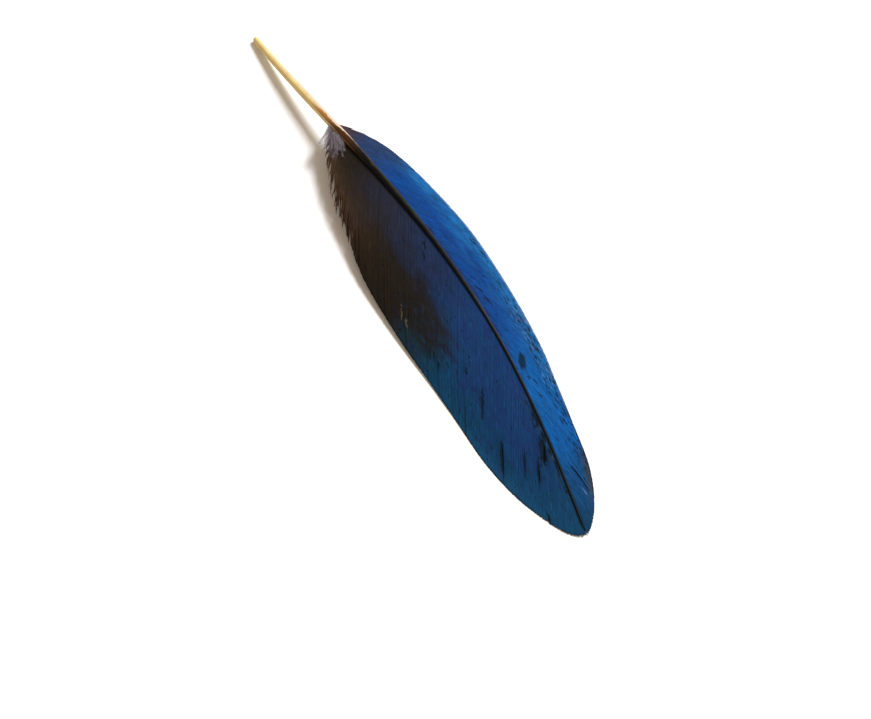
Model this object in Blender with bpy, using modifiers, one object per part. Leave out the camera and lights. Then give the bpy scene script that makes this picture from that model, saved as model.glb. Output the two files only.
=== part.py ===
"""A loose wing feather of a macaw, lying on a flat surface with its blue upper side showing.

The feather is one grown piece: a quill that thickens and then tapers into a curved rachis, and a
vane on each side of it. The vanes are parted into locks, bundles of barbs that leave the rachis
at an acute angle and sweep towards the tip. The outer vane, at +Y, is narrow. The inner vane, at
-Y, is about twice as wide. The rachis is arched, so the feather touches the surface at the end
of its quill and along the margins of both vanes near the tip.

Metres, +Z up. +X runs from the quill to the tip. The origin is under the middle of the feather,
on the surface that it lies on.
"""

import math
import random

import bmesh
import bpy

# Driving dimensions. "Along" is always a fraction of LENGTH, from the quill's end to the tip.
MM = 0.001
OUTER, INNER = 1, -1
LENGTH = 138.4 * MM
BOW = 6.3 * MM            # how far the rachis curves towards the outer vane, seen from above
BOW_SKEW = 1.42           # above 1 puts the deepest part of the bow nearer the tip
ARCH = 5.2 * MM           # how high the rachis rises between its two ends

QUILL_END = 0.246         # where the bare quill ends and the vanes start
RACHIS_END = 0.975        # where the rachis fades out and the last barbs run on alone
QUILL_TIP_RADIUS = 0.72 * MM
QUILL_RADIUS = 0.98 * MM
RACHIS_TIP_RADIUS = 0.17 * MM
RACHIS_TAPER = 1.7
QUILL_TIP_HEIGHT = 0.60 * MM  # height of the shaft's middle at each end
TIP_HEIGHT = 0.35 * MM

# Half-widths of the vanes, square to the rachis: (along, width)
OUTER_MARGIN = ((0.30, 5.4 * MM), (0.33, 6.8 * MM), (0.38, 7.85 * MM), (0.45, 8.6 * MM),
                (0.52, 9.0 * MM), (0.60, 8.5 * MM), (0.74, 7.5 * MM), (0.79, 6.75 * MM),
                (0.86, 6.1 * MM), (1.00, 5.7 * MM))
INNER_MARGIN = ((0.33, 6.5 * MM), (0.42, 12.7 * MM), (0.51, 15.3 * MM), (0.62, 16.1 * MM),
                (0.72, 15.1 * MM), (0.85, 12.9 * MM), (1.00, 10.5 * MM))
# The rounded tip: where each margin starts to close in, and how bluntly
OUTER_TIP_START, OUTER_TIP_POWER = 0.895, 0.72
INNER_TIP_START, INNER_TIP_POWER = 0.847, 0.6

# Angle between the barbs and the rachis where they leave it, in degrees
OUTER_ANGLES = (34.0, 22.0)   # at the base and at the tip of the vane
INNER_ANGLES = (42.0, 22.0)
BASE_SPREAD = 9.0             # the first barbs stand out further by this angle
BASE_SPREAD_LENGTH = 0.04
BARB_CURL = math.radians(0.4) / MM   # how fast a barb bends towards the tip, per metre of it

# How the vanes fall away from the rachis: slope and curvature of their cross-section
OUTER_SLOPE, INNER_SLOPE = 0.26, 0.10
CAMBER = 0.012 / MM
VANE_THICKNESS = 0.40 * MM
LOWEST_MIDDLE = 0.04 * MM     # the vane's middle layer never comes lower than this
CONTACT_SOFTNESS = 0.3 * MM   # how gently a vane flattens where it meets the surface

# Locks: bundles of barbs
LOCKS = 28                    # on each side of the rachis
COLUMNS_PER_LOCK = 3
ROWS = 7                      # from the rachis to the margin
ROW_CROWDING = 1.45           # above 1 puts the rows closer together towards the margin
LOCK_CROWN = 0.11 * MM        # how far the middle of a lock stands above its edges
MARGIN_NOTCH = 0.025          # how much shorter a lock's edge barbs are
SLIT_START, SLIT_GAP = 0.80, 0.10        # the usual short slit between two locks
DEEP_SLIT_START, DEEP_SLIT_GAP = 0.42, 0.22
DEEP_SLITS = {INNER: (9, 17, 23), OUTER: (13, 20)}   # lock numbers
DOWN_LOCKS = {INNER: 2, OUTER: 0}        # loose locks at the very base
DOWN_SLIT_START, DOWN_SLIT_GAP = 0.15, 0.45
FIRST_BARB = {INNER: 3.2 * MM, OUTER: 4.2 * MM}     # length of the very first barbs
FIRST_GROWTH = {INNER: 190 * MM, OUTER: 500 * MM}   # how fast they lengthen, per fraction along
LIFT_SEED = 7
LOCK_LIFT = 0.10 * MM         # locks lie this much higher or lower than their neighbours

SHAFT_POINTS = 64
WELD = 0.002 * MM

BLUE = (0.018, 0.130, 0.420, 1.0)
IVORY = (0.560, 0.370, 0.180, 1.0)


# ---------------------------------------------------------------- the feather's own coordinates

def through(stations, along):
    """A smooth curve through (along, value) stations, level beyond the first and last."""
    if along <= stations[0][0]:
        return stations[0][1]
    if along >= stations[-1][0]:
        return stations[-1][1]
    right = next(i for i, station in enumerate(stations) if station[0] > along)
    left = right - 1

    def slope(i):
        before, after = stations[max(i - 1, 0)], stations[min(i + 1, len(stations) - 1)]
        return (after[1] - before[1]) / (after[0] - before[0])

    gap = stations[right][0] - stations[left][0]
    u = (along - stations[left][0]) / gap
    return ((2 * u**3 - 3 * u**2 + 1) * stations[left][1] + (u**3 - 2 * u**2 + u) * gap * slope(left)
            + (3 * u**2 - 2 * u**3) * stations[right][1] + (u**3 - u**2) * gap * slope(right))


def rachis_bow(along):
    return BOW * math.sin(math.pi * min(max(along, 0.0), 1.0) ** BOW_SKEW)


def rachis_height(along):
    along = min(max(along, 0.0), 1.0)
    return QUILL_TIP_HEIGHT * (1 - along) + TIP_HEIGHT * along + ARCH * math.sin(math.pi * along)


def shaft_radius(along):
    """The quill swells from its blunt end and the rachis tapers to a hair."""
    if along < QUILL_END:
        swell = math.sin(0.5 * math.pi * along / QUILL_END)
        return QUILL_TIP_RADIUS + (QUILL_RADIUS - QUILL_TIP_RADIUS) * swell
    left = max(0.0, (RACHIS_END - along) / (RACHIS_END - QUILL_END))
    return RACHIS_TIP_RADIUS + (QUILL_RADIUS - RACHIS_TIP_RADIUS) * left ** RACHIS_TAPER


def margin_width(side, along):
    """Distance from the rachis to the vane's margin, square to the rachis."""
    stations, start, power = ((OUTER_MARGIN, OUTER_TIP_START, OUTER_TIP_POWER) if side == OUTER
                              else (INNER_MARGIN, INNER_TIP_START, INNER_TIP_POWER))
    closing = min(max((along - start) / (1 - start), 0.0), 1.0)
    return through(stations, along) * (1 - closing**2) ** power


def barb_angle(side, start):
    base, tip = OUTER_ANGLES if side == OUTER else INNER_ANGLES
    part = (start - QUILL_END) / (RACHIS_END - QUILL_END)
    spread = BASE_SPREAD * math.exp((QUILL_END - start) / BASE_SPREAD_LENGTH)
    fan = math.sqrt(max(0.0, 1 - part**10))    # the last barbs close up to straight ahead
    return math.radians(base + (tip - base) * part + spread) * fan


def barb_place(side, start, run):
    """(along, across) of the point that is run metres out along the barb from start."""
    angle = barb_angle(side, start)
    angle -= min(0.5 * BARB_CURL * run, 0.5 * angle)
    return start + run * math.cos(angle) / LENGTH, run * math.sin(angle)


def barb_length(side, start):
    """How long a barb can be before it meets the margin, found by halving."""
    low, high = 0.0, 0.4 * LENGTH
    for _ in range(40):
        run = 0.5 * (low + high)
        along, across = barb_place(side, start, run)
        if along < 1.0 and across < margin_width(side, along):
            low = run
        else:
            high = run
    return low


def in_space(side, along, across, lift):
    """The point of the vane's middle layer at a place in the feather's own coordinates."""
    step = 0.001
    heading = math.atan2(rachis_bow(along + step) - rachis_bow(along - step), 2 * step * LENGTH)
    if along > 1 - step:
        heading = math.atan2(-rachis_bow(1 - step), step * LENGTH)
    x = along * LENGTH - side * across * math.sin(heading)
    y = rachis_bow(along) + side * across * math.cos(heading)
    slope = OUTER_SLOPE if side == OUTER else INNER_SLOPE
    free = rachis_height(along) - slope * across - CAMBER * across**2 + lift
    gap = free - LOWEST_MIDDLE
    z = LOWEST_MIDDLE + 0.5 * (gap + math.hypot(gap, CONTACT_SOFTNESS))
    return x, y, z


# ---------------------------------------------------------------- the vanes

def row_reach(row):
    """How far out a row lies, from 0 at the rachis to 1 at the margin."""
    return 1 - (1 - abs(row) / ROWS) ** ROW_CROWDING


def slit_after(side, lock):
    """Where the slit beyond this lock starts, and its gap at the margin."""
    if lock < DOWN_LOCKS[side]:
        return DOWN_SLIT_START, DOWN_SLIT_GAP
    if lock in DEEP_SLITS[side]:
        return DEEP_SLIT_START, DEEP_SLIT_GAP
    return SLIT_START, SLIT_GAP


def lock_point(side, lock, across_lock, reach, lift):
    """A point of a lock: across_lock runs 0 to 1 towards the tip, reach 0 to 1 to the margin."""
    width = (RACHIS_END - QUILL_END) / LOCKS
    edge = 2 * across_lock - 1
    if lock == LOCKS - 1:
        edge = min(edge, 0.0)        # the two last locks meet in one tip
    near, gap = slit_after(side, lock if edge > 0 else lock - 1)
    opening = gap * max(0.0, (reach - near) / (1 - near))
    start = QUILL_END + width * (lock + across_lock - 0.5 * edge * opening)
    length = min(barb_length(side, start),
                 FIRST_BARB[side] + FIRST_GROWTH[side] * max(start - QUILL_END, 0.0))
    run = length * reach * (1 - MARGIN_NOTCH * edge**2 * reach)
    along, across = barb_place(side, start, run)
    crown = LOCK_CROWN * (1 - edge**2) * math.sin(0.5 * math.pi * reach)
    return in_space(side, along, across, crown + lift * reach)


def make_vanes():
    """Both vanes as one sheet, slit between the locks and given its thickness."""
    columns = LOCKS * COLUMNS_PER_LOCK
    sheet = bmesh.new()
    bmesh.ops.create_grid(sheet, x_segments=columns, y_segments=2 * ROWS, size=0.5)
    lock_layer = sheet.faces.layers.int.new("lock")

    def cell(v):
        return round((v.co.x + 0.5) * columns), round((v.co.y + 0.5) * 2 * ROWS) - ROWS

    for face in sheet.faces:
        face[lock_layer] = min(cell(v)[0] for v in face.verts) // COLUMNS_PER_LOCK
    slits = []
    for edge in sheet.edges:
        (column, row), (other_column, other_row) = (cell(v) for v in edge.verts)
        lock = column // COLUMNS_PER_LOCK - 1
        if column != other_column or column % COLUMNS_PER_LOCK or not 0 <= lock < LOCKS - 1:
            continue
        side = OUTER if row + other_row > 0 else INNER
        if row_reach(min(abs(row), abs(other_row))) >= slit_after(side, lock)[0]:
            slits.append(edge)
    bmesh.ops.split_edges(sheet, edges=slits)

    rng = random.Random(LIFT_SEED)
    lifts = {(side, lock): rng.uniform(-LOCK_LIFT, LOCK_LIFT)
             for side in (OUTER, INNER) for lock in range(LOCKS)}
    for v in sheet.verts:
        column, row = cell(v)
        side = OUTER if row > 0 else INNER
        locks = {face[lock_layer] for face in v.link_faces}
        lock = max(locks)
        across_lock = column / COLUMNS_PER_LOCK - lock
        lift = sum(lifts[side, each] for each in locks) / len(locks)
        v.co = lock_point(side, lock, across_lock, row_reach(row), lift)
    bmesh.ops.remove_doubles(sheet, verts=sheet.verts, dist=WELD)
    bmesh.ops.recalc_face_normals(sheet, faces=sheet.faces)
    mesh = bpy.data.meshes.new("vanes")
    sheet.to_mesh(mesh)
    sheet.free()
    vanes = bpy.data.objects.new("vanes", mesh)
    solidify = vanes.modifiers.new("thickness", "SOLIDIFY")
    solidify.thickness = VANE_THICKNESS
    solidify.offset = 0.0
    return vanes


# ---------------------------------------------------------------- the quill and rachis

def make_shaft():
    """The quill and rachis: a tube along the bowed, arched centre line, with a rounded end."""
    curve = bpy.data.curves.new("shaft", "CURVE")
    curve.dimensions = "3D"
    curve.bevel_depth = 1.0
    curve.bevel_resolution = 4
    curve.use_fill_caps = True
    spline = curve.splines.new("POLY")
    spline.points.add(SHAFT_POINTS - 1)
    for i, point in enumerate(spline.points):
        part = i / (SHAFT_POINTS - 1)
        along = part**1.15 * RACHIS_END
        point.co = (along * LENGTH, rachis_bow(along), rachis_height(along), 1.0)
        rounding = min(1.0, along * LENGTH / QUILL_TIP_RADIUS)
        point.radius = shaft_radius(along) * (0.55 + 0.45 * math.sin(0.5 * math.pi * rounding))
    return bpy.data.objects.new("shaft", curve)


# ---------------------------------------------------------------- putting it together

def make_collection(name, hidden=False):
    collection = bpy.data.collections.new(name)
    bpy.context.scene.collection.children.link(collection)
    collection.hide_render = hidden
    return collection


def make_material(name, colour, roughness):
    material = bpy.data.materials.new(name)
    material.use_nodes = True
    shader = material.node_tree.nodes["Principled BSDF"]
    shader.inputs["Base Color"].default_value = colour
    shader.inputs["Roughness"].default_value = roughness
    shader.inputs["Metallic"].default_value = 0.0
    return material


def as_mesh(item, name):
    """A new mesh object that holds what item looks like with its modifiers, caps welded."""
    bpy.context.view_layer.update()
    evaluated = item.evaluated_get(bpy.context.evaluated_depsgraph_get())
    mesh = bpy.data.meshes.new_from_object(evaluated)
    bm = bmesh.new()
    bm.from_mesh(mesh)
    bmesh.ops.remove_doubles(bm, verts=bm.verts, dist=WELD)
    bm.to_mesh(mesh)
    bm.free()
    made = bpy.data.objects.new(name, mesh)
    made.matrix_world = item.matrix_world
    return made


def main():
    for item in list(bpy.data.objects):
        bpy.data.objects.remove(item, do_unlink=True)
    feather_collection = make_collection("macaw_feather")
    tools = make_collection("tools", hidden=True)
    vane_blue = make_material("vane_blue", BLUE, 0.55)
    quill_ivory = make_material("quill_ivory", IVORY, 0.40)

    vanes, shaft = make_vanes(), make_shaft()
    for item in (vanes, shaft):
        tools.objects.link(item)
    solid_vanes = as_mesh(vanes, "solid_vanes")
    solid_shaft = as_mesh(shaft, "solid_shaft")
    for item in (vanes, shaft):
        bpy.data.objects.remove(item, do_unlink=True)
    for item, slot in ((solid_vanes, 0), (solid_shaft, 1)):
        tools.objects.link(item)
        for material in (vane_blue, quill_ivory):
            item.data.materials.append(material)
        for polygon in item.data.polygons:
            polygon.material_index = slot
    for vertex in solid_vanes.data.vertices:     # locks that touch the surface lie flat on it
        vertex.co.z = max(vertex.co.z, 0.0)

    union = solid_vanes.modifiers.new("grown together", "BOOLEAN")
    union.operation = "UNION"
    union.solver = "EXACT"
    union.object = solid_shaft
    feather = as_mesh(solid_vanes, "feather")
    for item in (solid_vanes, solid_shaft):
        bpy.data.objects.remove(item, do_unlink=True)

    xs, ys, zs = zip(*(vertex.co for vertex in feather.data.vertices))
    middle = ((min(xs) + max(xs)) / 2, (min(ys) + max(ys)) / 2, min(zs))
    for vertex in feather.data.vertices:
        vertex.co = [value - offset for value, offset in zip(vertex.co, middle)]
    feather_collection.objects.link(feather)
    feather.data.shade_smooth()
    feather.data.set_sharp_from_angle(angle=math.radians(35))


main()
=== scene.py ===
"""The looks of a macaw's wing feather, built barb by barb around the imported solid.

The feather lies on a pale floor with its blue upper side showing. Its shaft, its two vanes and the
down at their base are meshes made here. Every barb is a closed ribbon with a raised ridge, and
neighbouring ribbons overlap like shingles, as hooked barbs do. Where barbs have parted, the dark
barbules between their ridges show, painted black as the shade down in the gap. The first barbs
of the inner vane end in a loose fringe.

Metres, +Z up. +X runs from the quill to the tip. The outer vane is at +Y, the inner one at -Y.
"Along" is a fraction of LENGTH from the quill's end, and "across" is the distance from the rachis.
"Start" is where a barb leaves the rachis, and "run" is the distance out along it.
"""

import math

import bpy
import numpy as np
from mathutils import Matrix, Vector


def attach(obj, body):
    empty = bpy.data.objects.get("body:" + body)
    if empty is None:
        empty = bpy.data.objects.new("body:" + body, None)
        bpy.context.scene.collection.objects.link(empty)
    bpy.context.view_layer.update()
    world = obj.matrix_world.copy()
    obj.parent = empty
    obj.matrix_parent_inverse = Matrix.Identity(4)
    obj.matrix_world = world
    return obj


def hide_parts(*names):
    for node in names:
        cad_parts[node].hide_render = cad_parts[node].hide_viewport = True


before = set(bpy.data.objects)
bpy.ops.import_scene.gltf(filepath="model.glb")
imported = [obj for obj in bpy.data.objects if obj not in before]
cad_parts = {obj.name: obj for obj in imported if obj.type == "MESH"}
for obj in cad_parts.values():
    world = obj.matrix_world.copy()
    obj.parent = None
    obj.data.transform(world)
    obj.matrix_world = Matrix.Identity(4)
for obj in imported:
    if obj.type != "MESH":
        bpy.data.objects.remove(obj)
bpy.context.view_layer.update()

# ------------ the feather's measures
MM = 0.001
OUTER, INNER = 1, -1

# The solid's form. The tip and the inner vane's fringe reach up to 2.6 mm further than it does.
LENGTH = 138.4 * MM
BOW, BOW_SKEW = 6.3 * MM, 1.42
ARCH = 5.2 * MM
QUILL_END, RACHIS_END = 0.246, 0.975
QUILL_TIP_RADIUS, QUILL_RADIUS, RACHIS_TIP_RADIUS = 0.72 * MM, 0.98 * MM, 0.17 * MM
RACHIS_TAPER = 1.7
QUILL_TIP_HEIGHT, TIP_HEIGHT = 0.60 * MM, 0.35 * MM
MARGINS = {   # the vanes' widths, square to the rachis: (along, mm)
    OUTER: ((0.30, 5.4), (0.33, 6.8), (0.38, 7.85), (0.45, 8.6), (0.52, 9.0), (0.60, 8.5),
            (0.74, 7.5), (0.79, 6.75), (0.86, 6.1), (1.00, 5.7)),
    INNER: ((0.30, 6.4), (0.335, 9.2), (0.37, 11.1), (0.42, 12.7), (0.51, 15.4), (0.62, 16.1),
            (0.72, 15.1), (0.85, 12.9), (1.00, 10.5)),
}
TIP_START = {OUTER: 0.885, INNER: 0.826}   # where each margin starts to close in
TIP_POWER = {OUTER: 0.76, INNER: 0.60}     # and how bluntly
TIP_END = 1.004
BARB_ANGLES = {OUTER: (34.0, 22.0), INNER: (42.0, 22.0)}   # degrees, at the base and at the tip
BASE_SPREAD, BASE_SPREAD_LENGTH = 9.0, 0.04   # the first barbs stand out further by this angle
FAN_POWER = 10                # above 1, the barbs close up nearer the tip
BARB_CURL = math.radians(0.4) / MM
LEAST_ANGLE = math.radians(8.0)   # taken for the last barbs when they make room
LONGEST_BARB, HALVINGS = 0.4 * LENGTH, 40
VANE_SLOPE = {OUTER: 0.26, INNER: 0.10}
CAMBER = 0.012 / MM
LOWEST_MIDDLE, CONTACT_SOFTNESS = 0.04 * MM, 0.3 * MM   # how the vanes flatten on the floor
LOWEST_POINT = 0.01 * MM      # of the shaft
ORIGIN = np.array((69.190, 2.613, 0.0)) * MM   # the part's origin, seen from the quill's end

# Barbs
BARBS = 300                   # on each side of the rachis
BARB_STATIONS = 36            # points along a barb
STATION_CROWDING = 1.15       # above 1, they lie closer together towards the margin
FIRST_BARB = {OUTER: 4.2 * MM, INNER: 3.2 * MM}     # length of the very first ones
FIRST_GROWTH = {OUTER: 500 * MM, INNER: 490 * MM}   # how fast they lengthen, per fraction along
TIP_TAPER = 0.6 * MM          # the end of a barb over which it narrows
TIP_NARROWNESS = 0.6          # share of its width that is left at the very end
RAGGED_TIPS = 0.11 * MM       # how unequal the barbs' lengths are
ROOT_LIFT = 0.30              # barbs leave the rachis this share of its radius above its middle
ROOT_LIFT_REACH = 2.5 * MM
UNEVEN_SPACING = 0.14
UNEVEN_HEIGHT = 0.010 * MM
WAVER, WAVER_LENGTH = 0.35, 1.9 * MM   # sideways waver of the barbs, in spacings
WAVER_DRIFT = 9.0             # how its phase moves on along the rachis
# A barb's section: offset towards the tip in spacings, height, and share of the ridge's colour
BARB_TOP = ((-1.05, -0.050 * MM, 0.0), (-0.24, 0.002 * MM, 0.6), (0.00, 0.026 * MM, 1.0),
            (0.24, 0.006 * MM, 0.6), (0.72, 0.004 * MM, 0.0))
BARB_UNDERSIDE = ((0.64, -0.016 * MM, 0.0), (0.04, -0.105 * MM, 1.0), (-1.02, -0.060 * MM, 0.0))
RIDGE_HALF_WIDTH = 0.5        # in spacings; what lies beyond is barbules

# The first barbs of each vane have no hooks, and their ends hang loose
LOOSE_UNTIL = {OUTER: 0.256, INNER: 0.37}   # along the rachis
LOOSE_PART = 0.62             # share of a barb's length beyond which it is loose
LOOSE_SWAY = {OUTER: 0.3 * MM, INNER: 1.2 * MM}
LOCK_SWAY = 0.6               # share of the sway that a lock's barbs have in common
LOOSE_WAVE, LOOSE_WAVE_LENGTH = {OUTER: 0.05 * MM, INNER: 0.30 * MM}, 0.9 * MM
LOOSE_LIFT, LOOSE_LIFTS = {OUTER: 0.1 * MM, INNER: 0.35 * MM}, (-0.6, 1)   # most, and its shares
LOOSE_SHORTENING = {OUTER: 0.2 * MM, INNER: 2.6 * MM}
LOOSE_NARROWNESS = 0.20       # share of a barb's width that is left where it is quite loose

# Places where barbs have parted: the start along the rachis, and in mm the first run, the last run
# and the widest gap. A slit whose last run lies beyond the margin stays open there.
PARTINGS = {
    INNER: ((0.335, 9.0, 40, 0.14), (0.447, 17.0, 40, 0.05), (0.506, 20.0, 40, 0.05),
            (0.610, 20.5, 40, 0.10), (0.663, 15.4, 21.6, 0.29), (0.722, 18.4, 26.0, 0.42),
            (0.790, 12.4, 16.2, 0.29), (0.834, 8.4, 12.6, 0.32), (0.850, 2.6, 6.9, 0.85),
            (0.860, 14.4, 40, 0.16)),
    OUTER: ((0.300, 4.0, 40, 0.12), (0.610, 12.0, 40, 0.16), (0.793, 11.0, 40, 0.14),
            (0.868, 5.8, 11.4, 0.26)),
}
PARTING_REACH = 5.0           # barbs on each side that make room for a gap
PARTING_BLUNTNESS = 0.8       # below 1, the ends of a closed gap are blunter
PARTING_DEPTH = 0.07 * MM     # the barbules in a gap lie this much lower
# The black of a gap is the barbules' dark colour, painted as the shade down in it
OPEN_GAP = 0.35               # spacings by which two barbs have come apart where the gap is black
OPEN_SIDES = 0.6              # share of that black on the sides of a barb's ridge
WEB_STRETCH = 0.55            # barbules reach over this share of a gap from each side
LOCK_SIZES = (7, 24)          # barbs that hold together, fewest and most
LOCK_LIFT, LOCK_LIFT_START = 0.03 * MM, 0.1   # locks rise or sink from this share of their length
LOCK_GAP, LOCK_GAP_START = 0.05 * MM, 0.90    # and part from this share on
MOST_SHARE = 1.2              # how far past the margin a point can be, for its colour
ALMOST_TIP = TIP_END - 0.001  # where the margin still has some width


# ------------ the feather's own coordinates

def through(stations, along):
    """A smooth curve through (along, value) stations, level beyond the first and last."""
    places, values = np.array(stations).T
    wide_places, wide_values = np.pad(places, 1, mode="edge"), np.pad(values, 1, mode="edge")
    slopes = (wide_values[2:] - wide_values[:-2]) / (wide_places[2:] - wide_places[:-2])
    along = np.clip(along, places[0], places[-1])
    right = np.clip(np.searchsorted(places, along, side="right"), 1, len(places) - 1)
    left = right - 1
    gap = places[right] - places[left]
    u = (along - places[left]) / gap
    return ((2 * u**3 - 3 * u**2 + 1) * values[left] + (u**3 - 2 * u**2 + u) * gap * slopes[left]
            + (3 * u**2 - 2 * u**3) * values[right] + (u**3 - u**2) * gap * slopes[right])


def vectors(*parts):
    """Points or other vectors from arrays of their three numbers."""
    return np.stack(np.broadcast_arrays(*parts), axis=-1)


def smooth_step(low, high, value):
    u = np.clip((value - low) / (high - low), 0.0, 1.0)
    return u * u * (3 - 2 * u)


def rachis_bow(along):
    return BOW * np.sin(math.pi * np.clip(along, 0.0, 1.0) ** BOW_SKEW)


def rachis_height(along):
    along = np.clip(along, 0.0, 1.0)
    return QUILL_TIP_HEIGHT * (1 - along) + TIP_HEIGHT * along + ARCH * np.sin(math.pi * along)


def shaft_radius(along):
    """The quill swells from its blunt end and the rachis tapers to a hair."""
    swell = np.sin(0.5 * math.pi * np.clip(along / QUILL_END, 0.0, 1.0))
    quill = QUILL_TIP_RADIUS + (QUILL_RADIUS - QUILL_TIP_RADIUS) * swell
    left = np.clip((RACHIS_END - along) / (RACHIS_END - QUILL_END), 0.0, 1.0)
    rachis = RACHIS_TIP_RADIUS + (QUILL_RADIUS - RACHIS_TIP_RADIUS) * left**RACHIS_TAPER
    return np.where(along < QUILL_END, quill, rachis)


def margin_width(side, along):
    """Distance from the rachis to the vane's margin, square to the rachis."""
    closing = np.clip((along - TIP_START[side]) / (TIP_END - TIP_START[side]), 0.0, 1.0)
    return MM * through(MARGINS[side], along) * (1 - closing**2) ** TIP_POWER[side]


def barb_angle(side, start):
    base, tip = BARB_ANGLES[side]
    part = (start - QUILL_END) / (RACHIS_END - QUILL_END)
    spread = BASE_SPREAD * np.exp((QUILL_END - start) / BASE_SPREAD_LENGTH)
    fan = np.sqrt(np.clip(1 - np.clip(part, 0.0, 1.0) ** FAN_POWER, 0.0, 1.0))
    return np.radians(base + (tip - base) * part + spread) * fan


def shift_along(side, start, gap):
    """How far a barb moves along the rachis when it moves sideways by gap."""
    return gap / np.sin(np.maximum(barb_angle(side, start), LEAST_ANGLE)) / LENGTH


def barb_place(side, start, run):
    """(along, across) of the point that is run metres out along the barb from start."""
    angle = barb_angle(side, start)
    angle = angle - np.minimum(0.5 * BARB_CURL * run, 0.5 * angle)
    return start + run * np.cos(angle) / LENGTH, run * np.sin(angle)


def barb_length(side, start):
    """How long a barb can be before it meets the margin, found by halving."""
    low, high = np.zeros_like(start), np.full_like(start, LONGEST_BARB)
    for _ in range(HALVINGS):
        run = 0.5 * (low + high)
        along, across = barb_place(side, start, run)
        inside = (along < TIP_END) & (across < margin_width(side, along))
        low, high = np.where(inside, run, low), np.where(inside, high, run)
    return low


def rachis_heading(along):
    """Which way the rachis points, seen from above, as an angle from +X."""
    step = 0.001
    along = np.minimum(along, 1 - step)
    return np.arctan2(rachis_bow(along + step) - rachis_bow(along - step), 2 * step * LENGTH)


def in_space(side, along, across, lift):
    """The point of the vane at a place in the feather's own coordinates, in the part's frame."""
    heading = rachis_heading(along)
    x = along * LENGTH - side * across * np.sin(heading)
    y = rachis_bow(along) + side * across * np.cos(heading)
    free = rachis_height(along) - VANE_SLOPE[side] * across - CAMBER * across**2 + lift
    gap = free - LOWEST_MIDDLE
    z = LOWEST_MIDDLE + 0.5 * (gap + np.hypot(gap, CONTACT_SOFTNESS))
    return vectors(x, y, z) - ORIGIN


# ------------ meshes

def tube_faces(count, stations, around):
    """Quads of count closed tubes, each of stations rings, and the faces at their ends."""
    tube, station, point = np.meshgrid(np.arange(count), np.arange(stations - 1),
                                       np.arange(around), indexing="ij")
    beside = (point + 1) % around
    ring = (tube * stations + station) * around
    quads = np.stack((ring + point, ring + beside, ring + around + beside, ring + around + point),
                     axis=-1)
    first = np.arange(count)[:, None] * stations * around + np.arange(around)[::-1]
    last = (np.arange(count)[:, None] * stations + stations - 1) * around + np.arange(around)
    return quads.reshape(-1, 4), first, last


def make_piece(name, points, faces, materials, attributes, slots=None, unwrapped=None):
    """A shown piece of the feather. attributes holds vectors for the points, slots each face's
    material, and unwrapped a flat place for each corner of each face."""
    mesh = bpy.data.meshes.new(name)
    mesh.from_pydata(points.reshape(-1, 3).tolist(), [], faces)
    for material in materials:
        mesh.materials.append(material)
    if slots is not None:
        mesh.polygons.foreach_set("material_index", slots)
    for key, values in attributes.items():
        layer = mesh.attributes.new(key, "FLOAT_VECTOR", "POINT")
        layer.data.foreach_set("vector", values.astype(np.float32).ravel())
    if unwrapped is not None:
        flat = mesh.uv_layers.new(name="OFBake")
        flat.data.foreach_set("uv", unwrapped.astype(np.float32).ravel())
    mesh.shade_smooth()
    mesh.update()
    piece = bpy.data.objects.new(name, mesh)
    bpy.context.scene.collection.objects.link(piece)
    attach(piece, "root")
    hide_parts("feather")


# ------------ the vanes

def spread_apart(side, starts, run, spacing):
    """How far along the rachis barbs give way to the partings, at each run."""
    shift = np.zeros(np.broadcast_shapes(starts.shape, run.shape))
    for start, *measures in PARTINGS[side]:
        first, last, gap = np.array(measures) * MM
        length = barb_length(side, np.array([start]))[0]
        if last > length:
            opening = smooth_step(first, length, run)
        else:
            opening = np.sin(math.pi * np.clip((run - first) / (last - first), 0.0, 1.0))
            opening = opening ** PARTING_BLUNTNESS
        away = starts - start
        making_room = np.exp(-np.abs(away) / (PARTING_REACH * spacing))
        shift += shift_along(side, starts, np.sign(away) * making_room * opening * 0.5 * gap)
    return shift


def locks_of(rng):
    """For each barb the number of its lock, and for each lock its random lift, -1 to 1."""
    numbers = []
    while len(numbers) < BARBS:
        numbers += [numbers[-1] + 1 if numbers else 0] * rng.integers(*LOCK_SIZES)
    numbers = np.array(numbers[:BARBS])
    return numbers, rng.uniform(-1.0, 1.0, numbers[-1] + 1)


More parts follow.
